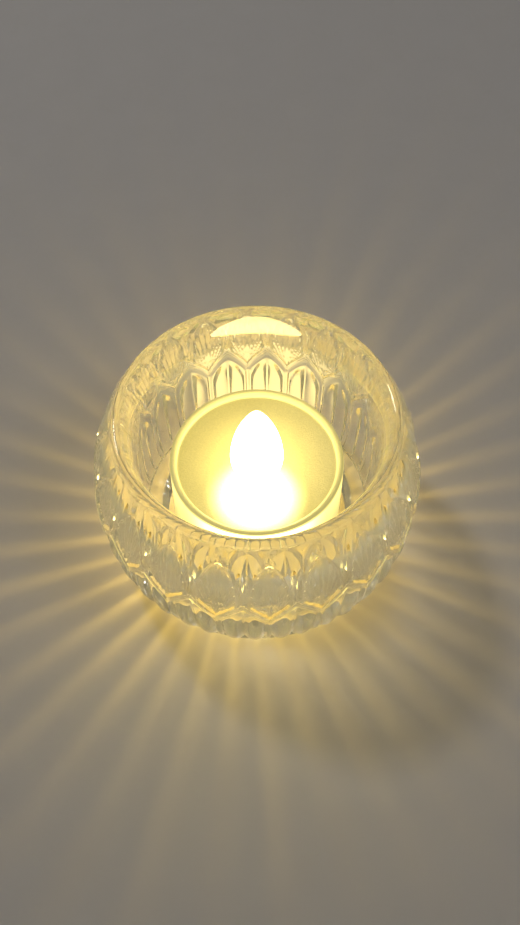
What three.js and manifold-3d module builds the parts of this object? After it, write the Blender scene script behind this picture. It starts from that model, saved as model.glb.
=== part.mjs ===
// A pressed glass tealight holder with an LED tealight standing in it.
// Millimetres, +Z up. The origin is the middle of the holder's underside, and +Z is the axis of
// both the holder and the candle. The switch lies behind the axis, towards +Y.
import * as THREE from 'three';
import { mergeVertices } from 'three/addons/utils/BufferGeometryUtils.js';
import Module from 'manifold-3d';

const wasm = await Module();
wasm.setup();

// Gap between pieces that touch on the real product
const CLEAR = 0.3;

// Glass holder
const HOLDER_HEIGHT = 41.3;
const BELLY_RADIUS = 35;
const BELLY_HEIGHT = 20;
const BASE_RADIUS = 29.5;
const BASE_ROUND = 1.2;
const BASE_HOLLOW_RADIUS = 21;
const BASE_HOLLOW_DEPTH = 0.6;
const LOWER_CURVE = 2.6;
const UPPER_CURVE = 2.2;
const RIM_RADIUS = 29.7;
const RIM_THICKNESS = 2.5;
const RIM_FLARE_HEIGHT = 6;
const RIM_FLARE_REACH = 0.5;
const BOWL_RADIUS = 25.5;
const BOWL_DRAFT = 0.4;
const BOWL_CORNER_HEIGHT = 8;
const SEAT_HEIGHT = 7;
const SEAT_CLEARANCE = 0.7;

// Leaves and petals pressed into the outside of the glass
const PATTERN_COUNT = 20;
const PATTERN_TURN = THREE.MathUtils.degToRad(4.4);
const COLUMNS_PER_LEAF = 4;
const LEAF_FOOT_HEIGHT = 18;
const PETAL_PEAK_HEIGHT = 24;
const PLAIN_BAND = 3.3;
const PETAL_DEPTH = 1.1;
const LEAF_DEPTH = 0.7;

// Coin battery
const CELL_RADIUS = 10;
const CELL_HEIGHT = 3.2;
const CELL_STEP = 0.3;

// Candle body
const SHELL_WALL = 1.2;
const DISH_DEPTH = 3;
const DISH_CURVE = 2.5;
const LIP_WALL = 1.4;
const LIP_STEP = 1.6;
const LIP_FILLET = 0.5;
const FOOT_RECESS = 0.6;
const FOOT_BEAD = 0.7;
const FOOT_CHAMFER = 0.5;

// Bottom plate, battery chamber and twist cap
const PLATE_THICKNESS = 1.2;
const CHAMBER_WALL = 0.8;
const CAP_OPENING_EASE = 0.6;
const LUG_COUNT = 3;
const LUG_HALF_ANGLE = THREE.MathUtils.degToRad(14);
const LUG_THICKNESS = 1;
const CAP_TURN = THREE.MathUtils.degToRad(50);
const CAP_RECESS = 1;
const COIN_SLOT_LENGTH = 9;
const COIN_SLOT_WIDTH = 1.6;
const COIN_SLOT_DEPTH = 0.8;

// Slide switch
const SWITCH_TRAVEL = 2;
const SWITCH_LENGTH = 4.6;
const SWITCH_WIDTH = 4.2;
const SWITCH_THICKNESS = 1.2;
const STEM_LENGTH = 2.4;
const STEM_WIDTH = 2.4;
const STEM_DROP = 0.3;
const RIDGE_DEPTH = 0.35;

// Metal strips and lamp legs
const STRIP_THICKNESS = 0.3;
const STRIP_WIDTH = 2.1;
const BRIDGE_LENGTH = 3.8;
const LEG_SIZE = 0.5;
const LEG_SPREAD = 1.27;
const LEG_SPACE = 2.8;

// Lamp
const LED_RADIUS = 2.5;
const LED_HEIGHT = 8.6;
const LED_COLLAR = 0.4;
const LED_COLLAR_THICKNESS = 1;
const BOSS_WALL = 1;

// Flame
const FLAME_RADIUS = 5.6;
const FLAME_NECK_RADIUS = 4.6;
const FLAME_HEIGHT = 20.3;
const FLAME_WALL = 1;
const FLAME_FLANGE = 1.8;
const FLAME_FLANGE_THICKNESS = 1;
const FLAME_NECK_RISE = 0.5;

// Heights, each standing on the one before
const FOOT = SEAT_HEIGHT + CLEAR;
const PLATE_UNDER = FOOT + FOOT_RECESS;
const PLATE_TOP = PLATE_UNDER + PLATE_THICKNESS;
const LUG_UNDER = PLATE_TOP + CLEAR;
const LUG_TOP = LUG_UNDER + LUG_THICKNESS;
const CELL_UNDER = LUG_TOP + CLEAR;
const CELL_TOP = CELL_UNDER + CELL_HEIGHT;
const DECK_UNDER = CELL_TOP + LEG_SIZE + 2 * CLEAR;
const DECK_TOP = DECK_UNDER + PLATE_THICKNESS;
const LED_UNDER = DECK_TOP + LEG_SPACE;
const BOSS_TOP = LED_UNDER + LED_COLLAR_THICKNESS;
const FLANGE_UNDER = BOSS_TOP + CLEAR;
const FLANGE_TOP = FLANGE_UNDER + FLAME_FLANGE_THICKNESS;
const DISH_UNDER = FLANGE_TOP + CLEAR;
const DISH_TOP = DISH_UNDER + SHELL_WALL;
const LIP = DISH_TOP + DISH_DEPTH;
const SLIDER_UNDER = PLATE_TOP + CLEAR;
const SLIDER_TOP = SLIDER_UNDER + SWITCH_THICKNESS;
const BRIDGE_MIDDLE = SLIDER_TOP + CLEAR + STRIP_THICKNESS / 2;
const CONTACT_MIDDLE = BRIDGE_MIDDLE + STRIP_THICKNESS + CLEAR;

// Radii, from the battery outwards
const OPENING_RADIUS = CELL_RADIUS + CAP_OPENING_EASE;
const CAP_RADIUS = OPENING_RADIUS - CLEAR;
const SKIRT_INNER = CELL_RADIUS + CLEAR;
const SKIRT_OUTER = SKIRT_INNER + CHAMBER_WALL;
const LUG_RADIUS = SKIRT_OUTER;
const CHAMBER_INNER = SKIRT_OUTER + CLEAR;
const CHAMBER_OUTER = CHAMBER_INNER + CHAMBER_WALL;
const SWITCH_Y = CHAMBER_OUTER + CLEAR + SWITCH_WIDTH / 2;
const SWITCH_REACH = (SWITCH_LENGTH + SWITCH_TRAVEL) / 2;
const SHELL_BORE = Math.hypot(SWITCH_Y + SWITCH_WIDTH / 2, SWITCH_REACH) + CLEAR;
const CANDLE_RADIUS = SHELL_BORE + SHELL_WALL;
const DECK_RADIUS = SHELL_BORE - CLEAR;
const SEAT_RADIUS = CANDLE_RADIUS + SEAT_CLEARANCE;
const DISH_EDGE = CANDLE_RADIUS - LIP_WALL - LIP_FILLET;
const FLAME_HOLE = FLAME_NECK_RADIUS + CLEAR;

const MATERIALS = {
  glass: { color: 0xe9f1ee, roughness: 0.03, metalness: 0, transparent: true, opacity: 0.4 },
  ivory: { color: 0xf0dfae, roughness: 0.5, metalness: 0 },
  flame: { color: 0xfff0b8, roughness: 0.35, metalness: 0, emissive: 0xffc24a },
  white: { color: 0xe6e4dc, roughness: 0.55, metalness: 0 },
  lens: { color: 0xfff3cf, roughness: 0.08, metalness: 0 },
  steel: { color: 0xb9bcc0, roughness: 0.3, metalness: 1 },
  brass: { color: 0xc9a24e, roughness: 0.35, metalness: 1 },
};

// A round piece: [radius, height] points, counter-clockwise, from axis to axis or back to the start
function turned(points, segments, start = 0) {
  const profile = points.map(([radius, height]) => new THREE.Vector2(radius, height));
  return new THREE.LatheGeometry(profile, segments, start).rotateX(Math.PI / 2);
}

function block(size, centre) {
  return new THREE.BoxGeometry(...size).translate(...centre);
}

// Part of a flat ring, centred on a direction
function sector(inner, outer, direction, halfAngle, under, top) {
  const outline = new THREE.Shape();
  outline.absarc(0, 0, outer, direction - halfAngle, direction + halfAngle, false);
  outline.absarc(0, 0, inner, direction + halfAngle, direction - halfAngle, true);
  const options = { depth: top - under, bevelEnabled: false, curveSegments: 8 };
  return new THREE.ExtrudeGeometry(outline, options).translate(0, 0, under);
}

// A bent strip: the corners of its centre line as [run, height], its thickness and its width
function strip(corners, thickness, width) {
  const line = corners.map(([run, height]) => new THREE.Vector2(run, height));
  const last = line.length - 1;
  const heading = (i) => line[i + 1].clone().sub(line[i]).normalize();
  const edge = (side) => line.map((corner, i) => {
    const before = heading(Math.max(i - 1, 0));
    const along = before.clone().add(heading(Math.min(i, last - 1))).normalize();
    const reach = (side * thickness) / 2 / along.dot(before);
    return new THREE.Vector2(corner.x - along.y * reach, corner.y + along.x * reach);
  });
  const outline = new THREE.Shape([...edge(-1), ...edge(1).reverse()]);
  const options = { depth: width, bevelEnabled: false };
  return new THREE.ExtrudeGeometry(outline, options).translate(0, 0, -width / 2);
}

// Strips are drawn flat: these stand one up with its run along Y or along X
const RUN_ALONG_Y = new THREE.Matrix4().set(0, 0, 1, 0, 1, 0, 0, 0, 0, 1, 0, 0, 0, 0, 0, 1);
const RUN_ALONG_X = new THREE.Matrix4().makeRotationX(Math.PI / 2);

function toSolid(geometry) {
  const bare = geometry.clone();
  bare.deleteAttribute('normal');
  bare.deleteAttribute('uv');
  const { attributes, index } = mergeVertices(bare);
  const corners = [];
  for (let i = 0; i < index.count; i += 3) {
    const [a, b, c] = index.array.slice(i, i + 3);
    if (a !== b && b !== c && c !== a) corners.push(a, b, c);
  }
  const vertProperties = new Float32Array(attributes.position.array);
  const triVerts = new Uint32Array(corners);
  return new wasm.Manifold(new wasm.Mesh({ numProp: 3, vertProperties, triVerts }));
}

// One body from a first shape, shapes joined to it and shapes cut from it
function combined(first, joined, cut) {
  const filled = joined.reduce((body, shape) => body.add(toSolid(shape)), toSolid(first));
  const finished = cut.reduce((body, shape) => body.subtract(toSolid(shape)), filled);
  const { vertProperties, triVerts } = finished.getMesh();
  const geometry = new THREE.BufferGeometry();
  geometry.setAttribute('position', new THREE.BufferAttribute(vertProperties, 3));
  geometry.setIndex(new THREE.BufferAttribute(triVerts, 1));
  return geometry;
}

// The glass: a foot, a belly that draws in to the rim, a rounded lip and a bowl with a flat seat

const LIP_CENTRE = HOLDER_HEIGHT - RIM_THICKNESS / 2;
const LEAF_TIP_HEIGHT = HOLDER_HEIGHT - PLAIN_BAND;

function outerRadius(height) {
  if (height < BELLY_HEIGHT) {
    const fall = 1 - height / BELLY_HEIGHT;
    return BELLY_RADIUS - (BELLY_RADIUS - BASE_RADIUS) * fall ** LOWER_CURVE;
  }
  const rise = (height - BELLY_HEIGHT) / (LIP_CENTRE - BELLY_HEIGHT);
  return BELLY_RADIUS - (BELLY_RADIUS - RIM_RADIUS) * rise ** UPPER_CURVE;
}

// How far the outside is pressed in. across is 0 at a leaf's middle and 0.5 between two leaves.
// Below the zigzag each cell is a petal of two lobes, and above it a leaf with a sunk middle.
function pressedDepth(across, height) {
  const fold = Math.abs(across - Math.round(across));
  const zigzag = LEAF_FOOT_HEIGHT + (PETAL_PEAK_HEIGHT - LEAF_FOOT_HEIGHT) * 2 * fold;
  if (height < zigzag) {
    const swell = Math.sin(Math.PI * Math.max(0, (height - BASE_ROUND) / (zigzag - BASE_ROUND)));
    return PETAL_DEPTH * swell * (fold < 0.25 ? 1 - 4 * fold : 2 * fold - 0.5);
  }
  if (height > LEAF_TIP_HEIGHT) return 0;
  const swell = Math.sin((Math.PI * (height - zigzag)) / (LEAF_TIP_HEIGHT - zigzag));
  return LEAF_DEPTH * swell * Math.cos(Math.PI * fold) ** 2;
}

function outerWall() {
  const petalRows = [BASE_ROUND, 2.8, 5, 8, 11.5, 15];
  const leafRows = [LEAF_FOOT_HEIGHT, 21, PETAL_PEAK_HEIGHT, 27.5, 31, 34.5];
  const heights = [...petalRows, ...leafRows].filter((height) => height < LEAF_TIP_HEIGHT);
  return [...heights, LEAF_TIP_HEIGHT].map((height) => [outerRadius(height), height]);
}

function roundedLip() {
  const round = RIM_THICKNESS / 2;
  return [0, 45, 90, 135, 180].map((degrees) => {
    const angle = THREE.MathUtils.degToRad(degrees);
    return [RIM_RADIUS - round + round * Math.cos(angle), LIP_CENTRE + round * Math.sin(angle)];
  });
}

function bowlWall() {
  const cornerTop = SEAT_HEIGHT + BOWL_CORNER_HEIGHT;
  const foot = BOWL_RADIUS - BOWL_DRAFT;
  const flare = [
    [BOWL_RADIUS + RIM_FLARE_REACH, LIP_CENTRE - RIM_FLARE_HEIGHT / 2],
    [BOWL_RADIUS, LIP_CENTRE - RIM_FLARE_HEIGHT],
  ];
  const corner = [0, 22.5, 45, 67.5, 90].map((degrees) => {
    const angle = THREE.MathUtils.degToRad(degrees);
    const radius = SEAT_RADIUS + (foot - SEAT_RADIUS) * Math.cos(angle);
    return [radius, cornerTop - BOWL_CORNER_HEIGHT * Math.sin(angle)];
  });
  return [...flare, ...corner];
}

function glassHolder() {
  const foot = [
    [0, BASE_HOLLOW_DEPTH],
    [BASE_HOLLOW_RADIUS - BASE_HOLLOW_DEPTH, BASE_HOLLOW_DEPTH],
    [BASE_HOLLOW_RADIUS, 0],
    [BASE_RADIUS - BASE_ROUND, 0],
  ];
  const outside = outerWall();
  const profile = [...foot, ...outside, ...roundedLip(), ...bowlWall(), [0, SEAT_HEIGHT]];
  const segments = PATTERN_COUNT * COLUMNS_PER_LEAF;
  const geometry = turned(profile, segments, PATTERN_TURN);
  const position = geometry.attributes.position;
  for (let column = 0; column <= segments; column += 1) {
    for (let row = foot.length; row < foot.length + outside.length; row += 1) {
      const [radius, height] = profile[row];
      const scale = 1 - pressedDepth(column / COLUMNS_PER_LEAF, height) / radius;
      const vertex = column * profile.length + row;
      position.setXY(vertex, position.getX(vertex) * scale, position.getY(vertex) * scale);
    }
  }
  return geometry;
}

// The candle's body and flame

// Height of the dish's upper face: a steep step inside the lip, then a shallow hollow
function dishHeight(radius) {
  return DISH_TOP + (DISH_DEPTH - LIP_STEP) * (radius / DISH_EDGE) ** DISH_CURVE;
}

function candleShell() {
  const dishRadii = [DISH_EDGE, DISH_EDGE * 0.85, DISH_EDGE * 0.65, FLAME_HOLE];
  const underRadii = [FLAME_HOLE, DISH_EDGE * 0.65, DISH_EDGE * 0.85, DISH_EDGE - SHELL_WALL];
  return turned([
    [SHELL_BORE - FOOT_BEAD, FOOT],
    [CANDLE_RADIUS - FOOT_CHAMFER, FOOT],
    [CANDLE_RADIUS, FOOT + FOOT_CHAMFER],
    [CANDLE_RADIUS, LIP - LIP_WALL / 2],
    [CANDLE_RADIUS - 0.2 * LIP_WALL, LIP - 0.2 * LIP_WALL],
    [CANDLE_RADIUS - LIP_WALL / 2, LIP],
    [CANDLE_RADIUS - 0.8 * LIP_WALL, LIP - 0.2 * LIP_WALL],
    [CANDLE_RADIUS - LIP_WALL, LIP - LIP_WALL / 2],
    ...dishRadii.map((radius) => [radius, dishHeight(radius)]),
    ...underRadii.map((radius) => [radius, dishHeight(radius) - SHELL_WALL]),
    [SHELL_BORE, LIP - LIP_STEP - 2 * SHELL_WALL],
    [SHELL_BORE, PLATE_UNDER - CLEAR],
    [SHELL_BORE - FOOT_BEAD, PLATE_UNDER - CLEAR],
    [SHELL_BORE - FOOT_BEAD, FOOT],
  ], 48);
}

// Flame outline from neck to tip, as shares of its radius and height
const FLAME_OUTLINE = [
  [1, 0.14], [1, 0.22], [0.93, 0.36], [0.85, 0.48], [0.72, 0.62], [0.5, 0.81], [0.27, 0.93],
];

function flameBulb() {
  const point = ([wide, high], inset) => [FLAME_RADIUS * wide - inset, DISH_TOP + FLAME_HEIGHT * high];
  const outside = FLAME_OUTLINE.map((share) => point(share, 0));
  const inside = FLAME_OUTLINE.slice(0, -1).map((share) => point(share, FLAME_WALL)).reverse();
  return turned([
    [FLAME_NECK_RADIUS - FLAME_WALL, FLANGE_UNDER],
    [FLAME_NECK_RADIUS + FLAME_FLANGE, FLANGE_UNDER],
    [FLAME_NECK_RADIUS + FLAME_FLANGE, FLANGE_TOP],
    [FLAME_NECK_RADIUS, FLANGE_TOP],
    [FLAME_NECK_RADIUS, DISH_TOP + FLAME_NECK_RISE],
    ...outside,
    [0, DISH_TOP + FLAME_HEIGHT],
    [0, DISH_TOP + FLAME_HEIGHT - 2 * FLAME_WALL],
    ...inside,
    [FLAME_NECK_RADIUS - FLAME_WALL, DISH_TOP + FLAME_NECK_RISE],
    [FLAME_NECK_RADIUS - FLAME_WALL, FLANGE_UNDER],
  ], 28);
}

// The lamp and its legs

function ledLens() {
  const collar = LED_RADIUS + LED_COLLAR;
  const domeCentre = LED_UNDER + LED_HEIGHT - LED_RADIUS;
  const dome = [0, 30, 60].map((degrees) => {
    const angle = THREE.MathUtils.degToRad(degrees);
    return [LED_RADIUS * Math.cos(angle), domeCentre + LED_RADIUS * Math.sin(angle)];
  });
  return turned([
    [0, LED_UNDER],
    [collar, LED_UNDER],
    [collar, LED_UNDER + LED_COLLAR_THICKNESS],
    [LED_RADIUS, LED_UNDER + LED_COLLAR_THICKNESS],
    ...dome,
    [0, LED_UNDER + LED_HEIGHT],
  ], 20);
}

const ANODE_RUN_HEIGHT = DECK_TOP + CLEAR + LEG_SIZE / 2;

function anodeLeg() {
  const corners = [
    [0, LED_UNDER - CLEAR],
    [0, ANODE_RUN_HEIGHT],
    [SWITCH_Y, ANODE_RUN_HEIGHT],
    [SWITCH_Y, CONTACT_MIDDLE - STRIP_THICKNESS / 2],
  ];
  return strip(corners, LEG_SIZE, LEG_SIZE).applyMatrix4(RUN_ALONG_Y).translate(LEG_SPREAD, 0, 0);
}

function cathodeLeg() {
  const rest = CELL_TOP + CLEAR + LEG_SIZE / 2;
  const corners = [[-LEG_SPREAD, LED_UNDER - CLEAR], [-LEG_SPREAD, rest], [-0.7 * CELL_RADIUS, rest]];
  return strip(corners, LEG_SIZE, LEG_SIZE).applyMatrix4(RUN_ALONG_X);
}

// The deck, its boss round the lamp and its skirt round the battery, notched for leg and strip

const STRIP_X = -STRIP_WIDTH / 2 - 0.5;
const LEG_NOTCH = LEG_SIZE + 2 * CLEAR;
const STRIP_NOTCH = STRIP_WIDTH + 2 * CLEAR;

function ledHolder() {
  const legHole = LEG_SPREAD + LEG_SIZE / 2 + CLEAR + 0.2;
  const counterbore = LED_RADIUS + LED_COLLAR + CLEAR;
  const boss = counterbore + BOSS_WALL;
  const body = turned([
    [legHole, DECK_UNDER],
    [SKIRT_INNER, DECK_UNDER],
    [SKIRT_INNER, CELL_UNDER],
    [SKIRT_OUTER, CELL_UNDER],
    [SKIRT_OUTER, DECK_UNDER],
    [DECK_RADIUS, DECK_UNDER],
    [DECK_RADIUS, DECK_TOP],
    [boss, DECK_TOP],
    [boss, BOSS_TOP],
    [counterbore, BOSS_TOP],
    [counterbore, LED_UNDER - CLEAR],
    [legHole, LED_UNDER - CLEAR],
    [legHole, DECK_UNDER],
  ], 48);
  const legSide = block(
    [LEG_NOTCH, boss + 1, LEG_NOTCH + CLEAR],
    [LEG_SPREAD, (boss + 1) / 2, ANODE_RUN_HEIGHT],
  );
  const deckEdge = block(
    [LEG_NOTCH, 2 * (DECK_RADIUS - SWITCH_Y) + LEG_NOTCH, 3 * PLATE_THICKNESS],
    [LEG_SPREAD, DECK_RADIUS, (DECK_UNDER + DECK_TOP) / 2],
  );
  const stripSide = block(
    [STRIP_NOTCH, 4 * CHAMBER_WALL, DECK_UNDER - CELL_UNDER],
    [STRIP_X, SKIRT_OUTER, (CELL_UNDER + DECK_UNDER) / 2 - CLEAR],
  );
  return combined(body, [], [legSide, deckEdge, stripSide]);
}

function coinCell() {
  const shoulder = CELL_TOP - CELL_STEP;
  return turned([
    [0, CELL_UNDER],
    [CELL_RADIUS - 0.5, CELL_UNDER],
    [CELL_RADIUS, CELL_UNDER + 0.4],
    [CELL_RADIUS, shoulder - 0.2],
    [CELL_RADIUS - 0.3, shoulder],
    [CELL_RADIUS - 1, shoulder],
    [CELL_RADIUS - 1.2, CELL_TOP],
    [0, CELL_TOP],
  ], 40);
}

function positiveContact() {
  const side = CELL_RADIUS + CLEAR + STRIP_THICKNESS / 2;
  const corners = [[side, CELL_TOP - 2 * CLEAR], [side, CONTACT_MIDDLE], [SWITCH_Y + 1, CONTACT_MIDDLE]];
  return strip(corners, STRIP_THICKNESS, STRIP_WIDTH).applyMatrix4(RUN_ALONG_Y).translate(STRIP_X, 0, 0);
}

// The bottom plate: a ring under the battery opening, the chamber's wall and the switch slot

// The lugs rest a cap's turn away from the gaps that let them in
const lugDirections = Array.from({ length: LUG_COUNT }, (_, i) => (i * 2 * Math.PI) / LUG_COUNT);

function baseCover() {
  const body = turned([
    [OPENING_RADIUS, PLATE_UNDER],
    [DECK_RADIUS, PLATE_UNDER],
    [DECK_RADIUS, PLATE_TOP],
    [CHAMBER_OUTER, PLATE_TOP],
    [CHAMBER_OUTER, DECK_UNDER - CLEAR],
    [CHAMBER_INNER, DECK_UNDER - CLEAR],
    [CHAMBER_INNER, PLATE_TOP],
    [OPENING_RADIUS, PLATE_TOP],
    [OPENING_RADIUS, PLATE_UNDER],
  ], 48);
  const gapHalf = LUG_HALF_ANGLE + CLEAR / OPENING_RADIUS;
  const lugGaps = lugDirections.map((direction) => sector(
    OPENING_RADIUS - 1, CHAMBER_INNER, direction + CAP_TURN, gapHalf, PLATE_UNDER - 1, PLATE_TOP + 1,
  ));
  const slot = block(
    [SWITCH_TRAVEL + STEM_LENGTH + 2 * CLEAR, STEM_WIDTH + 2 * CLEAR, 3 * PLATE_THICKNESS],
    [0, SWITCH_Y, (PLATE_UNDER + PLATE_TOP) / 2],
  );
  const stripUnder = CONTACT_MIDDLE - STRIP_THICKNESS / 2 - CLEAR;
  const stripGap = block(
    [STRIP_NOTCH, 4 * CHAMBER_WALL, DECK_UNDER - stripUnder],
    [STRIP_X, CHAMBER_INNER, (DECK_UNDER + stripUnder) / 2],
  );
  return combined(body, [], [...lugGaps, slot, stripGap]);
}

function batteryCap() {
  const body = turned([
    [0, PLATE_UNDER],
    [CAP_RADIUS, PLATE_UNDER],
    [CAP_RADIUS, LUG_TOP],
    [CAP_RADIUS - CHAMBER_WALL, LUG_TOP],
    [CAP_RADIUS - CHAMBER_WALL, LUG_TOP - CAP_RECESS],
    [0, LUG_TOP - CAP_RECESS],
  ], 40);
  const inner = CAP_RADIUS - CHAMBER_WALL / 2;
  const lugs = lugDirections.map((direction) => sector(
    inner, LUG_RADIUS, direction, LUG_HALF_ANGLE, LUG_UNDER, LUG_TOP,
  ));
  const coinSlot = block(
    [COIN_SLOT_LENGTH, COIN_SLOT_WIDTH, 2 * COIN_SLOT_DEPTH],
    [0, 0, PLATE_UNDER],
  );
  return combined(body, lugs, [coinSlot]);
}

// The slide switch, drawn at its middle and set to its on end

function switchKnob() {
  const stemUnder = PLATE_UNDER - STEM_DROP;
  const slider = block(
    [SWITCH_LENGTH, SWITCH_WIDTH, SWITCH_THICKNESS],
    [0, SWITCH_Y, (SLIDER_UNDER + SLIDER_TOP) / 2],
  );
  const stemHeight = SLIDER_TOP - stemUnder;
  const stem = block([STEM_LENGTH, STEM_WIDTH, stemHeight], [0, SWITCH_Y, stemUnder + stemHeight / 2]);
  const grooves = [-1, 0, 1].map((step) => block(
    [STEM_LENGTH / 8, STEM_WIDTH + 1, 2 * RIDGE_DEPTH],
    [(step * STEM_LENGTH) / 4, SWITCH_Y, stemUnder],
  ));
  return combined(slider, [stem], grooves);
}

function switchContact() {
  const end = BRIDGE_LENGTH / 2;
  const corners = [[-end, BRIDGE_MIDDLE], [end, BRIDGE_MIDDLE]];
  return strip(corners, STRIP_THICKNESS, STRIP_WIDTH).applyMatrix4(RUN_ALONG_X).translate(0, SWITCH_Y, 0);
}

function piece(name, geometry, finish) {
  geometry.computeVertexNormals();
  const mesh = new THREE.Mesh(geometry, new THREE.MeshStandardMaterial(MATERIALS[finish]));
  mesh.name = name;
  return mesh;
}

const slidingSwitch = new THREE.Group();
slidingSwitch.add(
  piece('switch_knob', switchKnob(), 'white'),
  piece('switch_contact', switchContact(), 'brass'),
);
slidingSwitch.position.x = SWITCH_TRAVEL / 2;

const candle = new THREE.Group();
candle.add(
  piece('candle_shell', candleShell(), 'ivory'),
  piece('flame_bulb', flameBulb(), 'flame'),
  piece('led_lens', ledLens(), 'lens'),
  piece('led_lead_anode', anodeLeg(), 'steel'),
  piece('led_lead_cathode', cathodeLeg(), 'steel'),
  piece('led_holder', ledHolder(), 'white'),
  piece('coin_cell', coinCell(), 'steel'),
  piece('positive_contact', positiveContact(), 'brass'),
  piece('base_cover', baseCover(), 'ivory'),
  piece('battery_cap', batteryCap(), 'ivory'),
  slidingSwitch,
);

const tealightHolder = new THREE.Group();
tealightHolder.add(piece('glass_holder', glassHolder(), 'glass'), candle);

export default tealightHolder;
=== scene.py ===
import math

import bmesh
import bpy
from mathutils import Matrix, Vector


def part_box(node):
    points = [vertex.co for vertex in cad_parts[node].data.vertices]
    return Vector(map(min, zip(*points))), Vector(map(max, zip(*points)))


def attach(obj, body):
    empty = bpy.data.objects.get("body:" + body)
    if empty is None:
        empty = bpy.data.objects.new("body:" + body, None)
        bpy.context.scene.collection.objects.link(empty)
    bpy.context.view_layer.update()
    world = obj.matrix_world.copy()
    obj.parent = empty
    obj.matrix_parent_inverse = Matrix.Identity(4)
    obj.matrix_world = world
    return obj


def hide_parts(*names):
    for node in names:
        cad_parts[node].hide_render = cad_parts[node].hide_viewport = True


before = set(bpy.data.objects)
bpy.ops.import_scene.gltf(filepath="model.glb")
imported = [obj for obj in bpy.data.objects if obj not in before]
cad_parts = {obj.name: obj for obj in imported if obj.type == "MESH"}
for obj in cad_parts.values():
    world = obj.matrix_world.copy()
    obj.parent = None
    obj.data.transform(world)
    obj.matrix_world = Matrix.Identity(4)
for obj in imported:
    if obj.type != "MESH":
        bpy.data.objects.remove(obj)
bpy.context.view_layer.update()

# Sizes are millimetres in this script's own figures, and MM turns them into the frame's metres
MM = 0.001

# The camera looks down at the candle's lip, from in front
LOOK_DOWN = math.radians(57.3)
LOOK_DISTANCE = 244
LOOK_RIGHT = 0.68
LOOK_UP = -0.85
LENS = 44.76


def corner_mm(node, end):
    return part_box(node)[end] / MM


HOLDER_TOP = corner_mm("glass_holder", 1).z
CANDLE_FOOT = corner_mm("candle_shell", 0).z
CANDLE_LIP = corner_mm("candle_shell", 1).z
CANDLE_RADIUS = corner_mm("candle_shell", 1).x
FLAME_FOOT = corner_mm("flame_bulb", 0).z
FLAME_TIP = corner_mm("flame_bulb", 1).z
SEAT_HEIGHT = 7.0


def make_camera():
    data = bpy.data.cameras.new("camera")
    data.lens = LENS
    data.clip_start = 0.01
    camera = bpy.data.objects.new("camera", data)
    ahead = Vector((0, math.cos(LOOK_DOWN), -math.sin(LOOK_DOWN)))
    up = Vector((0, math.sin(LOOK_DOWN), math.cos(LOOK_DOWN)))
    aim = Vector((LOOK_RIGHT, 0, CANDLE_LIP)) + LOOK_UP * up
    camera.location = (aim - LOOK_DISTANCE * ahead) * MM
    camera.rotation_euler = (math.pi / 2 - LOOK_DOWN, 0, 0)
    bpy.context.scene.collection.objects.link(camera)
    bpy.context.scene.camera = camera


make_camera()


# ---------------------------------------------------------------- shader nodes

class Value:
    """A node's output, with arithmetic that adds Math nodes."""

    def __init__(self, finish, socket):
        self.finish, self.socket = finish, socket

    def math(self, operation, *others):
        return self.finish.node("ShaderNodeMath", {"operation": operation}, self, *others)

    def __add__(self, other):
        return self.math("ADD", other)

    __radd__ = __add__

    def __sub__(self, other):
        return self.math("SUBTRACT", other)

    def __rsub__(self, other):
        return self.finish.node("ShaderNodeMath", {"operation": "SUBTRACT"}, other, self)

    def __mul__(self, other):
        return self.math("MULTIPLY", other)

    __rmul__ = __mul__

    def __truediv__(self, other):
        return self.math("DIVIDE", other)

    def __pow__(self, other):
        return self.math("POWER", other)

    def root(self):
        return self.math("SQRT")

    def held(self, low=0.0, high=1.0):
        return self.math("MAXIMUM", low).math("MINIMUM", high)


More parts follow.
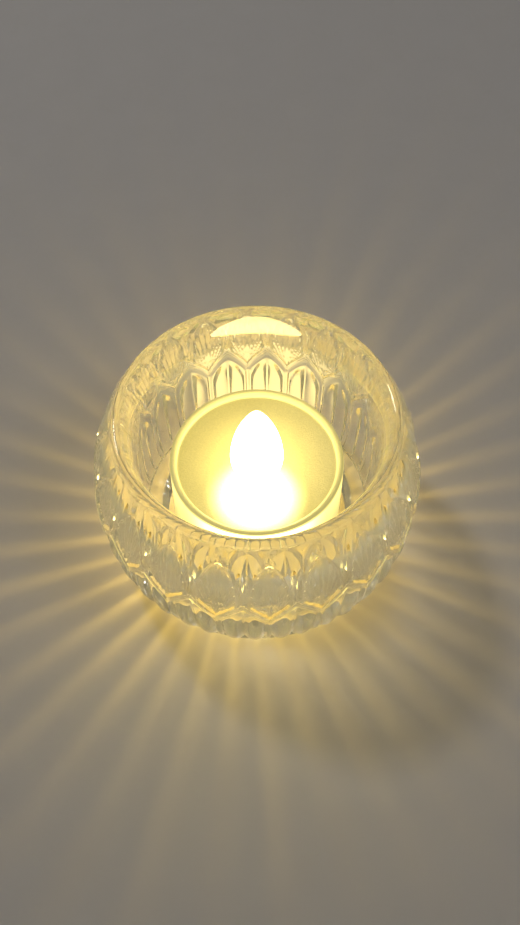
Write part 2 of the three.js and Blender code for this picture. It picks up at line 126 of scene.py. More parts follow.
class Finish:
    """One material: its nodes are added by node(), and its shader's sockets are set by wear()."""

    def __init__(self, name, **constants):
        self.material = bpy.data.materials.new(name)
        self.material.use_nodes = True
        self.tree = self.material.node_tree
        self.shader = self.tree.nodes["Principled BSDF"]
        self.wear(**constants)
        place = self.node("ShaderNodeTexCoord", out="Object")
        self.place = self.node("ShaderNodeVectorMath", {"operation": "SCALE"}, place, Scale=1 / MM)

    def node(self, kind, settings=None, *inputs, out=0, **named):
        made = self.tree.nodes.new(kind)
        for key, value in (settings or {}).items():
            if key == "stops":
                self.set_stops(made.color_ramp, value)
            else:
                setattr(made, key, value)
        for index, value in enumerate(inputs):
            self.feed(made.inputs[index], value)
        for key, value in named.items():
            self.feed(made.inputs[key.replace("_", " ")], value)
        return Value(self, made.outputs[out])

    def feed(self, socket, value):
        if isinstance(value, Value):
            self.tree.links.new(value.socket, socket)
        else:
            socket.default_value = value

    @staticmethod
    def set_stops(ramp, stops):
        while len(ramp.elements) < len(stops):
            ramp.elements.new(0.5)
        for element, (position, colour) in zip(ramp.elements, stops):
            element.position = position
            element.color = colour

    def wear(self, **sockets):
        for key, value in sockets.items():
            self.feed(self.shader.inputs[key.replace("_", " ")], value)

    def part(self, axis):
        return self.node("ShaderNodeSeparateXYZ", None, self.place, out=axis)

    def distance(self, *centre):
        """Distance in millimetres from a point, or from the axis when only x and y are given."""
        terms = [(self.part(axis) - value) ** 2 for axis, value in zip("XYZ", centre)]
        total = terms[0]
        for term in terms[1:]:
            total = total + term
        return total.root()

    def noise(self, size, detail=2.0, rough=0.5, stretch=(1, 1, 1)):
        """Cloudy pattern whose blotches are about size millimetres across."""
        place = self.node("ShaderNodeMapping", None, self.place, Scale=stretch)
        return self.node("ShaderNodeTexNoise", None, place, Scale=1 / size, Detail=detail, Roughness=rough)

    def mix(self, amount, first, second):
        made = self.node("ShaderNodeMix", {"data_type": "RGBA"}, amount, out="Result")
        sockets = made.socket.node.inputs
        self.feed([s for s in sockets if s.name == "A" and s.type == "RGBA"][0], first)
        self.feed([s for s in sockets if s.name == "B" and s.type == "RGBA"][0], second)
        return Value(self, [s for s in made.socket.node.outputs if s.type == "RGBA"][0])

    def bump(self, height, strength, depth):
        """depth is the height in millimetres that a change of 1 stands for."""
        normal = self.node("ShaderNodeBump", None, Strength=strength, Distance=depth * MM, Height=height)
        self.wear(Normal=normal)


def rgb(red, green, blue):
    return (red, green, blue, 1.0)


# ---------------------------------------------------------------- mesh helpers

def finished(name, bm, finish, body, replaced=()):
    """Make the object, with its finish, the body it rides on and the CAD nodes it stands for."""
    mesh = bpy.data.meshes.new(name)
    bm.to_mesh(mesh)
    bm.free()
    for polygon in mesh.polygons:
        polygon.use_smooth = True
    mesh.materials.append(finish.material)
    piece = bpy.data.objects.new(name, mesh)
    bpy.context.scene.collection.objects.link(piece)
    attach(piece, body)
    if replaced:
        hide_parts(*replaced)
    return piece


def spun(points, steps, marks=None, closed=False):
    """A body of revolution: its outline as (radius, height) points, from axis to axis or closed.

    marks gives each point a number that its copies keep in the layer "mark"."""
    bm = bmesh.new()
    layer = bm.verts.layers.float.new("mark")
    line = [bm.verts.new((radius * MM, 0, height * MM)) for radius, height in points]
    for vert, mark in zip(line, marks or []):
        vert[layer] = mark
    pairs = list(zip(line, line[1:]))
    if closed:
        pairs.append((line[-1], line[0]))
    edges = [bm.edges.new(pair) for pair in pairs]
    bmesh.ops.spin(
        bm, geom=line + edges, cent=(0, 0, 0), axis=(0, 0, 1), dvec=(0, 0, 0),
        angle=2 * math.pi, steps=steps, use_merge=True, use_duplicate=False,
    )
    bmesh.ops.remove_doubles(bm, verts=bm.verts, dist=0.0005 * MM)
    bmesh.ops.recalc_face_normals(bm, faces=bm.faces)
    return bm, layer


def arc(centre, radii, start, end, steps):
    """Points on a round or oval arc, from one angle to another in degrees, both ends kept."""
    points = []
    for step in range(steps + 1):
        angle = math.radians(start + (end - start) * step / steps)
        points.append((centre[0] + radii[0] * math.cos(angle), centre[1] + radii[1] * math.sin(angle)))
    return points


def between(low, high, steps):
    """Evenly spaced numbers from low up to, and without, high."""
    return [low + (high - low) * step / steps for step in range(steps)]


# ---------------------------------------------------------------- the glass

BELLY_RADIUS = 35.0
BELLY_HEIGHT = 20.0
BASE_RADIUS = 29.5
BASE_ROUND = 1.2
BASE_HOLLOW_RADIUS = 21.0
BASE_HOLLOW_DEPTH = 0.6
BASE_HOLLOW_ROUND = 1.0
RIM_RADIUS = 29.7
LIP_ROUND = 1.25
LIP_CENTRE = HOLDER_TOP - LIP_ROUND
LIP_TURN = 150
RIM_FLARE = 6.0
BOWL_RADIUS = 25.5
BOWL_FOOT_RADIUS = 25.1
BOWL_CORNER = 8.0
SEAT_RADIUS = CANDLE_RADIUS + 0.7
LOWER_CURVE = 2.6
UPPER_CURVE = 2.2

CELLS = 20
CELL_TURN = math.radians(4.4)
COLUMNS_PER_CELL = 32
PETAL_FOOT = 1.6
VALLEY_HEIGHT = 17.4
PEAK_HEIGHT = 23.6
ARCH_CURVE = 0.8
BAND_WIDTH = 0.6
LEAF_SHOULDER = 30.0
LEAF_TIP = 36.6
BAR_HALF = 0.045
NET_DEPTH = 0.35
PETAL_DEPTH = 1.35
CREASE_DEPTH = 1.1
PETAL_EDGE_DEPTH = 0.65
PETAL_SHOULDER = 5.5
PETAL_TOE = 3.0
PETAL_FADE = 1.2
LEAF_HALF_WIDTH = 4.5
LEAF_SKEW = 0.9
LEAF_FULLNESS = 0.6
LEAF_EDGE = 0.8
LEAF_SINK = 0.45
FAN_SPREAD = 0.11
FAN_DEPTH = 0.4
RIB_PITCH = 0.8
RIB_COUNT = 2
RIB_DEPTH = 0.28
OVAL_HEIGHT = 30.5
OVAL_HALF_HEIGHT = 4.0
OVAL_HALF_WIDTH = 1.3
OVAL_DEPTH = 0.8
TIP_GROOVE_HALF_WIDTH = 0.7
TIP_GROOVE_DEPTH = 0.45

FOOT_ROWS = 4
PETAL_ROWS = 44
BAND_ROWS = 4
LEAF_ROWS = 44
PLAIN_ROWS = 7
LIP_STEPS = 12
FLARE_STEPS = 8
STEEP_STEPS = 5
CORNER_STEPS = 10


def outer_radius(height):
    """Radius of the glass before its relief is pressed in."""
    if height < BELLY_HEIGHT:
        return BELLY_RADIUS - (BELLY_RADIUS - BASE_RADIUS) * (1 - height / BELLY_HEIGHT) ** LOWER_CURVE
    rise = (height - BELLY_HEIGHT) / (LIP_CENTRE - BELLY_HEIGHT)
    return BELLY_RADIUS - (BELLY_RADIUS - RIM_RADIUS) * rise ** UPPER_CURVE


def petal_top(fold):
    """Height of the pointed arch over a petal. fold is 0 at a leaf's middle, 0.5 at a petal's."""
    return VALLEY_HEIGHT + (PEAK_HEIGHT - VALLEY_HEIGHT) * (2 * fold) ** ARCH_CURVE


def leaf_foot(fold):
    """Height of the zigzag band's upper edge."""
    return petal_top(fold) + BAND_WIDTH


def leaf_top(fold):
    """Height of the round arch over a leaf, where the plain rim starts."""
    return LEAF_SHOULDER + (LEAF_TIP - LEAF_SHOULDER) * math.sqrt(max(0.0, 1 - (2 * fold) ** 2))


def flute(share):
    """0 along the crest of each rounded flute and 1 in the sharp groove between two of them."""
    return (2 * (share % 1) - 1) ** 2


def eased(share):
    """0 below 0 and 1 above 1, with a smooth rise between them."""
    share = min(1.0, max(0.0, share))
    return share * share * (3 - 2 * share)


def petal_depth(fold, height):
    """Each half of a petal is a rounded flute, between the groove by its bar and the middle crease."""
    if fold < BAR_HALF:
        return NET_DEPTH
    across = (fold - BAR_HALF) / (0.5 - BAR_HALF)
    shoulder = max(0.0, 1 - (petal_top(fold) - height) / PETAL_SHOULDER) ** 2
    toe = min(1.0, max(0.0, 1 - (height - PETAL_FOOT) / PETAL_TOE)) ** 2
    crown = (1 - flute(across)) * (1 - shoulder) * (1 - toe)
    groove = PETAL_DEPTH + (CREASE_DEPTH - PETAL_DEPTH) * across
    deepest = groove + (PETAL_EDGE_DEPTH - groove) * shoulder
    return deepest * (1 - crown)


def dimple(across, up):
    """1 at the middle of an oval hollow and 0 from its edge outwards."""
    return max(0.0, 1 - across ** 2 - up ** 2)


def from_fold(fold, height, middle=0.0):
    """Distance in millimetres round the wall from a fold position."""
    return abs(fold - middle) * 2 * math.pi * outer_radius(height) / CELLS


def leaf_depth(fold, height):
    """A sunk leaf with a fan of flutes, over ribs that follow the zigzag, and ovals between leaves."""
    across = from_fold(fold, height)
    above_foot = height - leaf_foot(fold)
    above_valley = height - leaf_foot(0)
    up = min(1.0, max(0.0, above_valley / (LEAF_TIP - leaf_foot(0))))
    half_width = LEAF_HALF_WIDTH * math.sin(math.pi * up ** LEAF_SKEW) ** LEAF_FULLNESS
    ribs_top = RIB_COUNT * RIB_PITCH
    if above_foot < ribs_top:
        return RIB_DEPTH * flute(above_foot / RIB_PITCH + 0.5)
    inside = eased((half_width - across) / LEAF_EDGE) * eased((above_foot - ribs_top) / LEAF_EDGE)
    fan = flute(across / max(1.0, above_valley) / FAN_SPREAD + 0.5)
    beside = from_fold(fold, height, 0.5) / OVAL_HALF_WIDTH
    oval = OVAL_DEPTH * dimple(beside, (height - OVAL_HEIGHT) / OVAL_HALF_HEIGHT)
    return max(oval, inside * (LEAF_SINK + FAN_DEPTH * fan))


def wall_point(mark, fold):
    """Height and pressed depth of a point of the outer wall from its row mark and its fold."""
    zone, share = int(mark), mark - int(mark)
    if zone == 1:
        height = BASE_ROUND + (petal_top(fold) - BASE_ROUND) * share
        return height, petal_depth(fold, height) * eased((height - BASE_ROUND) / PETAL_FADE)
    if zone == 2:
        return petal_top(fold) + BAND_WIDTH * share, NET_DEPTH
    if zone == 3:
        height = leaf_foot(fold) + (leaf_top(fold) - leaf_foot(fold)) * share
        return height, leaf_depth(fold, height)
    height = leaf_top(fold) + (LIP_CENTRE - leaf_top(fold)) * share
    beside = from_fold(fold, height) / TIP_GROOVE_HALF_WIDTH
    return height, TIP_GROOVE_DEPTH * dimple(beside, 2 * share - 1)


def cell_fold(x, y):
    """Distance from the nearest leaf's middle, as a share of a cell's width."""
    turn = math.atan2(x, -y) - CELL_TURN
    share = turn / (2 * math.pi / CELLS)
    return abs(share - round(share))


def foot_rows():
    """The hollow underneath and the rounded foot."""
    hollow_centre = (BASE_HOLLOW_RADIUS - BASE_HOLLOW_ROUND, 0)
    hollow = arc(hollow_centre, (BASE_HOLLOW_ROUND, BASE_HOLLOW_DEPTH), 90, 0, 3)
    foot_centre = (BASE_RADIUS - BASE_ROUND, BASE_ROUND)
    foot_radii = (outer_radius(BASE_ROUND) - BASE_RADIUS + BASE_ROUND, BASE_ROUND)
    foot = arc(foot_centre, foot_radii, -90, 0, FOOT_ROWS)
    return [(0, BASE_HOLLOW_DEPTH), (BASE_HOLLOW_RADIUS / 2, BASE_HOLLOW_DEPTH), *hollow, *foot[:-1]]


def wall_marks():
    """One mark a row of the outer wall: its zone, plus its share of the way up that zone."""
    marks = []
    for zone, rows in enumerate((PETAL_ROWS, BAND_ROWS, LEAF_ROWS, PLAIN_ROWS), 1):
        marks += [zone + share for share in between(0, 1, rows)]
    return marks


def bowl_rows():
    """The rounded lip, its flare, the steep inner wall, the bowl's round corner and the flat seat."""
    lip = arc((RIM_RADIUS - LIP_ROUND, LIP_CENTRE), (LIP_ROUND, LIP_ROUND), 0, LIP_TURN, LIP_STEPS)
    inner, top = lip[-1]
    steep_top = LIP_CENTRE - RIM_FLARE
    corner = SEAT_HEIGHT + BOWL_CORNER
    flare, steep = [], []
    for share in between(1 / FLARE_STEPS, 1, FLARE_STEPS - 1):
        reach = (inner - BOWL_RADIUS) * (1 - share) ** 2
        flare.append((BOWL_RADIUS + reach, top - (top - steep_top) * share))
    for share in between(0, 1, STEEP_STEPS):
        radius = BOWL_RADIUS + (BOWL_FOOT_RADIUS - BOWL_RADIUS) * share
        steep.append((radius, steep_top + (corner - steep_top) * share))
    corner_radii = (BOWL_FOOT_RADIUS - SEAT_RADIUS, BOWL_CORNER)
    seat = [(SEAT_RADIUS / 2, SEAT_HEIGHT), (0, SEAT_HEIGHT)]
    return [*lip, *flare, *steep, *arc((SEAT_RADIUS, corner), corner_radii, 0, -90, CORNER_STEPS), *seat]


def glass_outline():
    """Points from the axis underneath, round the foot, wall and lip, to the axis on the seat."""
    foot, marks, bowl = foot_rows(), wall_marks(), bowl_rows()
    heights = [wall_point(mark, 0)[0] for mark in marks]
    wall = [(outer_radius(height), height) for height in heights]
    return foot + wall + bowl, [0.0] * len(foot) + marks + [0.0] * len(bowl)


# The glass's emission is painted light: a faint painted glow stands in for the candle's light in the
# glass. It is dim low down and bright yellow higher up.
GLASS_GLOW = 0.02
GLASS_GLOW_LOW = rgb(0.25, 0.21, 0.08)
GLASS_GLOW_HIGH = rgb(1.0, 0.88, 0.34)
GLASS_GLOW_START = 6.0
GLASS_GLOW_RISE = 16.0
RIPPLE_SIZE = 3.5
FINE_RIPPLE_SIZE = 0.9
RIPPLE_DEPTH = 0.05
PASSED_LEAST = 0.45
LOBE_SHARPNESS = 3
PATCH_SIZE = 5.0


def passed_light(glass):
    """Share of the light that the glass lets through: two lobes a cell, broken into patches."""
    cell = 2 * math.pi / CELLS
    turn = glass.part("X").math("ARCTAN2", glass.part("Y") * -1) / cell
    fold = (turn - CELL_TURN / cell).math("FRACT")
    lobe = ((fold * 4 * math.pi).math("COSINE") * -0.5 + 0.5) ** LOBE_SHARPNESS
    patch = (glass.noise(PATCH_SIZE, 2) * 2.4 - 0.8).held()
    return PASSED_LEAST + (1 - PASSED_LEAST) * lobe * (0.4 + 0.6 * patch)


def glass_finish():
    glass = Finish(
        "clear_pressed_glass", Base_Color=rgb(0.985, 0.985, 0.965), Transmission_Weight=1.0, IOR=1.51,
        Roughness=0.0, Emission_Strength=GLASS_GLOW,
    )
    # Painted glow: darker low down and brighter higher up the glass
    upper = ((glass.part("Z") - GLASS_GLOW_START) / GLASS_GLOW_RISE).held()
    glass.wear(Emission_Color=glass.mix(upper, GLASS_GLOW_LOW, GLASS_GLOW_HIGH))
    ripple = glass.noise(RIPPLE_SIZE, 2) + 0.25 * glass.noise(FINE_RIPPLE_SIZE, 1)
    glass.bump(ripple, 0.15, RIPPLE_DEPTH)
    clear = glass.node("ShaderNodeBsdfTransparent", None, rgb(0.92, 0.9, 0.84))
    shadow = glass.node("ShaderNodeLightPath", out="Is Shadow Ray") * passed_light(glass)
    surface = Value(glass, glass.shader.outputs[0])
    passing = glass.node("ShaderNodeMixShader", None, shadow, surface, clear)
    glass.tree.links.new(passing.socket, glass.tree.nodes["Material Output"].inputs["Surface"])
    return glass


def build_glass():
    points, marks = glass_outline()
    bm, layer = spun(points, CELLS * COLUMNS_PER_CELL, marks)
    bmesh.ops.rotate(bm, verts=bm.verts, cent=(0, 0, 0), matrix=Matrix.Rotation(CELL_TURN, 3, "Z"))
    known = {}
    for vert in bm.verts:
        mark = vert[layer]
        if mark < 1:
            continue
        x, y = vert.co.x, vert.co.y
        fold = round(cell_fold(x, y) * COLUMNS_PER_CELL) / COLUMNS_PER_CELL
        key = (mark, fold)
        if key not in known:
            known[key] = wall_point(mark, fold)
        height, depth = known[key]
        scale = (outer_radius(height) - depth) * MM / math.hypot(x, y)
        vert.co = (x * scale, y * scale, height * MM)
    return finished("pressed_glass", bm, glass_finish(), "holder", ["glass_holder"])


# ---------------------------------------------------------------- the candle

LIP_WALL = 1.4
LIP_STEP = 1.6
SHELL_WALL = 1.2
DISH_DEPTH = 3.0
DISH_TOP = CANDLE_LIP - DISH_DEPTH
DISH_EDGE = CANDLE_RADIUS - LIP_WALL - 0.5
DISH_CURVE = 2.5
SHELL_BORE = CANDLE_RADIUS - SHELL_WALL
FOOT_ROUND = 0.5
FOOT_BEAD = 0.7
BEAD_GAP = 0.3
PLATE_UNDER = corner_mm("base_cover", 0).z
FLAME_NECK = 4.6
FLAME_HOLE = FLAME_NECK + 0.3


def dish_height(radius):
    return DISH_TOP + (DISH_DEPTH - LIP_STEP) * (radius / DISH_EDGE) ** DISH_CURVE


def shell_outline():
    """The shell's closed section: foot, outer wall, lip, dish, and back down inside to the foot bead."""
    half_lip = LIP_WALL / 2
    wall_rise = CANDLE_LIP - CANDLE_FOOT - half_lip - FOOT_ROUND
    bead_top = PLATE_UNDER - BEAD_GAP
    foot_centre = (CANDLE_RADIUS - FOOT_ROUND, CANDLE_FOOT + FOOT_ROUND)
    foot = arc(foot_centre, (FOOT_ROUND, FOOT_ROUND), -90, 0, 5)
    lip = arc((CANDLE_RADIUS - half_lip, CANDLE_LIP - half_lip), (half_lip, half_lip), 0, 180, 10)
    fillet = arc((DISH_EDGE + 0.25, dish_height(DISH_EDGE) + 0.5), (0.25, 0.5), 0, -90, 4)
    dish = [DISH_EDGE - (DISH_EDGE - FLAME_HOLE) * step / 14 for step in range(15)]
    under = [FLAME_HOLE + (DISH_EDGE - SHELL_WALL - FLAME_HOLE) * step / 8 for step in range(9)]
    return [
        (SHELL_BORE - FOOT_BEAD, CANDLE_FOOT),
        *foot,
        *[(CANDLE_RADIUS, CANDLE_FOOT + FOOT_ROUND + wall_rise * step / 6) for step in range(1, 6)],
        *lip,
        *fillet[:-1],
        *[(radius, dish_height(radius)) for radius in dish],
        *[(radius, dish_height(radius) - SHELL_WALL) for radius in under],
        (SHELL_BORE, CANDLE_LIP - LIP_STEP - 2 * SHELL_WALL),
        (SHELL_BORE, bead_top),
        (SHELL_BORE - FOOT_BEAD, bead_top),
    ]


# The candle shell's emission is painted light: a glow that stands in for the flame's and the LED's light
# on the plastic, with this colour and strength.
GLOW = rgb(1.0, 0.84, 0.26)
SHELL_GLOW = 16.0
# Painted highlight of the flame on the dish, in front of the flame
PAINTED_HOT_SPOT_CENTRE = (0, -8)
PAINTED_HOT_SPOT_RADIUS = 12.0
# Faint painted glow over the whole dish, and its strength
PAINTED_WIDE_GLOW_CENTRE = (0, 3)
PAINTED_WIDE_GLOW_RADIUS = 24.0
FAINT_GLOW = 0.014
# Painted glow of the lip and the wall, brightest in a painted patch at the front
WALL_GLOW = 0.028
SIDE_GLOW = 0.08
FRONT_GLOW = 0.9
PAINTED_FRONT_GLOW_CENTRE = (0, -CANDLE_RADIUS, CANDLE_LIP - 4)
PAINTED_FRONT_GLOW_RADIUS = 18.0
MASK_EDGE = 0.4


def dish_mask(shell):
    """1 on the dished top and 0 on the lip and the walls."""
    below_lip = ((CANDLE_LIP - 0.9 - shell.part("Z")) / MASK_EDGE).held()
    inside_lip = ((CANDLE_RADIUS - 1.2 - shell.distance(0, 0)) / MASK_EDGE).held()
    return below_lip * inside_lip


def dish_light(shell, grain):
    """Painted light on the dish: a painted highlight of the flame, strong in front of the flame, and a
    faint painted glow towards the edge.
    """
    painted_hot_spot = (1 - (shell.distance(*PAINTED_HOT_SPOT_CENTRE) / PAINTED_HOT_SPOT_RADIUS) ** 2).held() ** 3
    painted_wide_glow = (1 - shell.distance(*PAINTED_WIDE_GLOW_CENTRE) / PAINTED_WIDE_GLOW_RADIUS).held()
    return FAINT_GLOW * painted_wide_glow + FAINT_GLOW * grain + (0.6 + 0.4 * grain) * painted_hot_spot


def wall_light(shell):
    """Painted light on the lip and the wall: faint all over, more below the lip, and most at the front."""
    painted_side_glow = ((CANDLE_LIP - 0.3 - shell.part("Z")) / 1.2).held() * ((shell.part("Z") - 8) / 20).held()
    painted_front_glow = (1 - (shell.distance(*PAINTED_FRONT_GLOW_CENTRE) / PAINTED_FRONT_GLOW_RADIUS) ** 2).held() ** 3
    return WALL_GLOW + painted_side_glow * (SIDE_GLOW + FRONT_GLOW * painted_front_glow)


def shell_finish():
    shell = Finish("warm_ivory_plastic", IOR=1.46, Emission_Strength=SHELL_GLOW)
    grain = shell.noise(0.35, 3, 0.7)
    cloud = shell.noise(6, 2)
    on_dish = dish_mask(shell)
    tone = cloud * 0.6 + grain * 0.4
    shell.wear(Base_Color=shell.mix(tone, rgb(0.23, 0.22, 0.11), rgb(0.29, 0.275, 0.15)))
    shell.wear(Roughness=0.36 + 0.12 * grain - 0.08 * on_dish)
    # Painted light: the dish and the wall glow with painted light, not with light from the flame
    glow = on_dish * dish_light(shell, grain) + (1 - on_dish) * wall_light(shell)
    shell.wear(Emission_Color=shell.mix(glow.held(), rgb(0, 0, 0), GLOW))
    shell.bump(grain, 0.6, 0.12)
    return shell


def build_shell():
    bm, _ = spun(shell_outline(), 160, closed=True)
    shell = finished("candle_body", bm, shell_finish(), "candle", ["candle_shell"])
    shell.data.set_sharp_from_angle(angle=math.radians(50))


FLAME_RADIUS = 5.6
FLAME_HEIGHT = FLAME_TIP - DISH_TOP
FLAME_WALL = 1.0
FLAME_FLANGE = 1.8
FLAME_WIDEST = 0.2
FLAME_GLOW = 24.0


def flame_radius(share):
    """Radius of the flame at a share of its height: fullest low down, drawn in to a tip."""
    if share < FLAME_WIDEST:
        return FLAME_NECK + (FLAME_RADIUS - FLAME_NECK) * math.sin(math.pi / 2 * share / FLAME_WIDEST)
    rise = (share - FLAME_WIDEST) / (1 - FLAME_WIDEST)
    return FLAME_RADIUS * (1 - rise ** 1.75) ** 0.82


def flame_outline():
    """The hollow flame's closed section, with the flange that holds it under the dish."""
    shares = [step / 36 for step in range(37)]
    heights = [DISH_TOP + FLAME_HEIGHT * share for share in shares]
    radii = [flame_radius(share) for share in shares]
    outside = list(zip(radii, heights))[:-1]
    inside = [(max(0.0, radius - FLAME_WALL), height) for radius, height in outside[:32]]
    flange = FLAME_NECK + FLAME_FLANGE
    return [
        (FLAME_NECK - FLAME_WALL, FLAME_FOOT),
        (flange - 0.15, FLAME_FOOT),
        (flange, FLAME_FOOT + 0.15),
        (flange, FLAME_FOOT + 0.85),
        (flange - 0.15, FLAME_FOOT + 1),
        (FLAME_NECK, FLAME_FOOT + 1),
        *outside,
        (0, FLAME_TIP),
        (0, FLAME_TIP - 2 * FLAME_WALL),
        *reversed(inside),
    ]


def flame_finish():
    flame = Finish("frosted_flame_plastic", IOR=1.46, Emission_Strength=FLAME_GLOW, Roughness=0.35)
    share = ((flame.part("Z") - DISH_TOP) / FLAME_HEIGHT).held()
    mottle = flame.noise(2.5, 2)
    flame.wear(Base_Color=flame.mix(mottle, rgb(0.95, 0.86, 0.62), rgb(0.98, 0.9, 0.7)))
    glow = flame.node("ShaderNodeValToRGB", {"stops": [
        (0.0, rgb(0.75, 0.5, 0.14)), (0.25, rgb(1.0, 0.8, 0.34)), (0.6, rgb(1.0, 0.8, 0.34)),
        (1.0, rgb(0.8, 0.6, 0.2)),
    ]}, share + 0.08 * (mottle - 0.5))
    flame.wear(Emission_Color=glow)
    flame.bump(flame.noise(0.4, 2), 0.3, 0.05)
    return flame


def build_flame():
    bm, _ = spun(flame_outline(), 96, closed=True)
    finished("frosted_flame", bm, flame_finish(), "candle", ["flame_bulb"])


# ---------------------------------------------------------------- finishes of the inner pieces

def moulded_plastic(name, dark, light, rough=0.45):
    plastic = Finish(name, IOR=1.46)
    speck = plastic.noise(0.5, 3, 0.6)
    flow = plastic.noise(5, 2, stretch=(1, 1, 2))
    plastic.wear(Base_Color=plastic.mix(flow * 0.7 + speck * 0.3, dark, light))
    plastic.wear(Roughness=rough + 0.15 * speck)
    plastic.bump(speck, 0.4, 0.03)
    return plastic


def metal(name, dark, light, rough, stretch):
    sheet = Finish(name, Metallic=1.0)
    brushed = sheet.noise(0.35, 3, 0.6, stretch)
    stain = sheet.noise(3, 2)
    sheet.wear(Base_Color=sheet.mix(stain, dark, light))
    sheet.wear(Roughness=rough + 0.2 * brushed * stain)
    sheet.bump(brushed, 0.3, 0.02)
    return sheet


LENS_GLOW = 20.0
LENS_REACH = 2.9


def lens_finish():
    lens = Finish(
        "warm_lamp_resin", Base_Color=rgb(1.0, 0.9, 0.62), Transmission_Weight=0.6, IOR=1.5,
        Emission_Strength=LENS_GLOW,
    )
    depth = (1 - lens.distance(0, 0) / LENS_REACH).held()
    lens.wear(Roughness=0.05 + 0.1 * lens.noise(1, 2))
    lens.wear(Emission_Color=lens.mix(depth, rgb(0.5, 0.3, 0.1), rgb(1.0, 0.8, 0.45)))
    return lens


def dress(node, finish):
    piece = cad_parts[node]
    if not piece.material_slots:
        piece.data.materials.append(finish.material)
    for slot in piece.material_slots:
        slot.material = finish.material


def dress_cad_nodes():
    steel = metal("cell_steel", rgb(0.52, 0.53, 0.55), rgb(0.72, 0.73, 0.75), 0.25, (1, 8, 1))
    brass = metal("contact_brass", rgb(0.6, 0.42, 0.16), rgb(0.78, 0.6, 0.3), 0.28, (8, 1, 1))
    white = moulded_plastic("inner_white_plastic", rgb(0.72, 0.71, 0.66), rgb(0.84, 0.83, 0.78))
    ivory = moulded_plastic("base_ivory_plastic", rgb(0.72, 0.6, 0.38), rgb(0.84, 0.73, 0.5))
    dress("led_lens", lens_finish())
    for node in ("led_lead_anode", "led_lead_cathode", "coin_cell"):
        dress(node, steel)
    for node in ("positive_contact", "switch_contact"):
        dress(node, brass)
    for node in ("led_holder", "switch_knob"):
        dress(node, white)
    for node in ("base_cover", "battery_cap"):
        dress(node, ivory)


# ---------------------------------------------------------------- floor and light

FLOOR_HALF_SIZE = 2.0
FLOOR_GAP = 0.02


def build_floor():
    bm = bmesh.new()
    bmesh.ops.create_grid(bm, x_segments=8, y_segments=8, size=FLOOR_HALF_SIZE)
    bmesh.ops.translate(bm, vec=(0, 0, -FLOOR_GAP * MM), verts=bm.verts)
    paper = Finish("pale_paper", Roughness=0.8)
    paper.wear(Base_Color=paper.mix(paper.noise(12, 3), rgb(0.6, 0.58, 0.55), rgb(0.63, 0.61, 0.58)))
    mesh = bpy.data.meshes.new("floor")
    bm.to_mesh(mesh)
    bm.free()
    mesh.materials.append(paper.material)
    floor = bpy.data.objects.new("floor", mesh)
    bpy.context.scene.collection.objects.link(floor)
    return floor


ROOM_MIRRORED = rgb(0.14, 0.118, 0.076)
ROOM_LIGHT = rgb(0.056, 0.055, 0.056)
ROOM_SEEN = rgb(0.2, 0.18, 0.16)

CANDLE_LIGHT = (1.0, 0.67, 0.12)
CANDLE_LIGHT_POWER = 0.22
CANDLE_LIGHT_RADIUS = 1.6
CANDLE_LIGHT_PLACE = (-3, -1, 14)

POOL_LIGHT = (1.0, 0.76, 0.25)
POOL_LIGHT_POWER = 0.004
POOL_WIDTH = 46.0
POOL_LENGTH = 14.0
POOL_PLACE = (0, 44, 4)


def soft_light(name, place, size, power, colour, mirrored=True):
    """A round light aimed at the origin, with its place and size in metres."""
    data = bpy.data.lights.new(name, "AREA")
    data.shape = "DISK"
    data.size = size
    data.energy = power
    data.color = colour
    light = bpy.data.objects.new(name, data)
    light.location = place
    light.rotation_euler = (-Vector(place)).to_track_quat("-Z", "Y").to_euler()
    light.visible_glossy = light.visible_transmission = mirrored
    bpy.context.scene.collection.objects.link(light)


def group(name, member):
    collection = bpy.data.collections.new(name)
    collection.objects.link(member)
    return collection


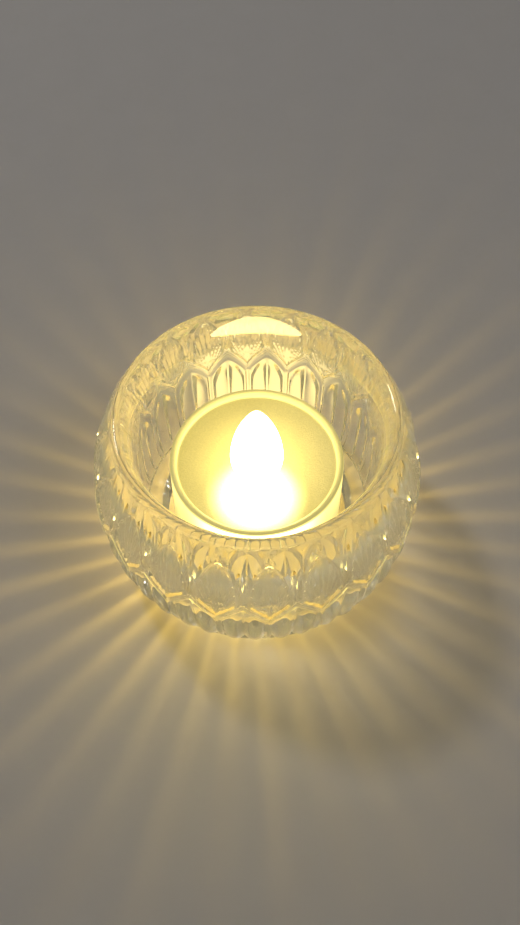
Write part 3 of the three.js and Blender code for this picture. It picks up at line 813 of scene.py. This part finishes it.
def candle_glow(glass, floor):
    """The candle's light on the floor, which only the glass in its way shades."""
    data = bpy.data.lights.new("candle_glow", "POINT")
    data.energy = CANDLE_LIGHT_POWER
    data.color = CANDLE_LIGHT
    data.shadow_soft_size = CANDLE_LIGHT_RADIUS * MM
    light = bpy.data.objects.new("candle_glow", data)
    light.location = Vector(CANDLE_LIGHT_PLACE) * MM
    light.light_linking.receiver_collection = group("glowing_floor", floor)
    light.light_linking.blocker_collection = group("glow_shades", glass)
    bpy.context.scene.collection.objects.link(light)
    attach(light, "candle")


def light_behind(floor):
    """The pool of candle light that the glass gathers on the floor behind it."""
    data = bpy.data.lights.new("gathered_light", "AREA")
    data.shape = "ELLIPSE"
    data.size, data.size_y = POOL_WIDTH * MM, POOL_LENGTH * MM
    data.energy = POOL_LIGHT_POWER
    data.color = POOL_LIGHT
    light = bpy.data.objects.new("gathered_light", data)
    light.location = Vector(POOL_PLACE) * MM
    light.visible_camera = light.visible_transmission = light.visible_glossy = False
    light.light_linking.receiver_collection = group("pool_floor", floor)
    bpy.context.scene.collection.objects.link(light)


def soft_room():
    """A dim even room, warmer where the glass mirrors or refracts it than as light or background."""
    world = bpy.data.worlds.new("soft_room")
    world.use_nodes = True
    tree = world.node_tree
    path = tree.nodes.new("ShaderNodeLightPath")
    shade = None
    for ray, colour in (("Is Diffuse Ray", ROOM_LIGHT), ("Is Camera Ray", ROOM_SEEN)):
        mix = tree.nodes.new("ShaderNodeMixRGB")
        tree.links.new(path.outputs[ray], mix.inputs[0])
        mix.inputs[1].default_value = ROOM_MIRRORED
        mix.inputs[2].default_value = colour
        if shade:
            tree.links.new(shade, mix.inputs[1])
        shade = mix.outputs[0]
    tree.links.new(shade, tree.nodes["Background"].inputs["Color"])
    bpy.context.scene.world = world


def build_light(glass, floor):
    candle_glow(glass, floor)
    light_behind(floor)
    soft_room()
    soft_light("window", (-0.45, 0.5, 0.8), 0.15, 2.0, (1.0, 0.98, 0.97))
    soft_light("fill", (0.6, -0.2, 0.9), 0.4, 1.05, (1.0, 0.96, 0.95), mirrored=False)
    bpy.context.scene.view_settings.view_transform = "Standard"
    cycles = bpy.context.scene.cycles
    cycles.max_bounces = 32
    cycles.glossy_bounces = 16
    cycles.transmission_bounces = 24


glass = build_glass()
build_shell()
build_flame()
dress_cad_nodes()
floor = build_floor()
build_light(glass, floor)
